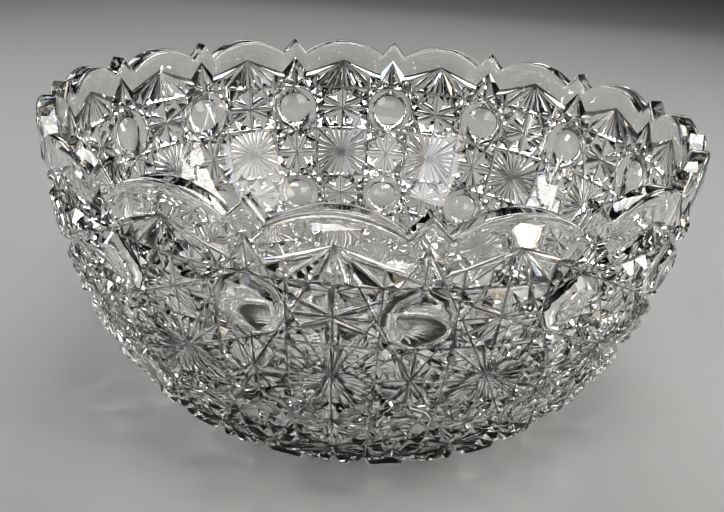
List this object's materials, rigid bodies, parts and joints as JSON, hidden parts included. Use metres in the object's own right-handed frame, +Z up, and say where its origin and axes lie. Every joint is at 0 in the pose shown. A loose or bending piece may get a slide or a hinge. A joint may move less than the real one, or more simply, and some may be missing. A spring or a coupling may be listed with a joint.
{
  "type": "punch bowl",
  "caption": "Deep round clear-glass punch bowl, thick walled and smooth inside, with a scalloped, toothed rim and an outside cut all over with dimples, mitres and stars.",
  "frame": {"origin": "middle of the flat base, on the surface the bowl stands on", "axes": "+Z up along the bowl's axis, out of its mouth; the middle of one rim scallop faces -Y"},
  "size_m": [0.308, 0.308, 0.144],
  "materials": {
    "crystal": "clear polished lead glass, crisp bright cuts"
  },
  "bodies": {
    "root": {"bowl": "crystal"}
  },
  "joints": []
}
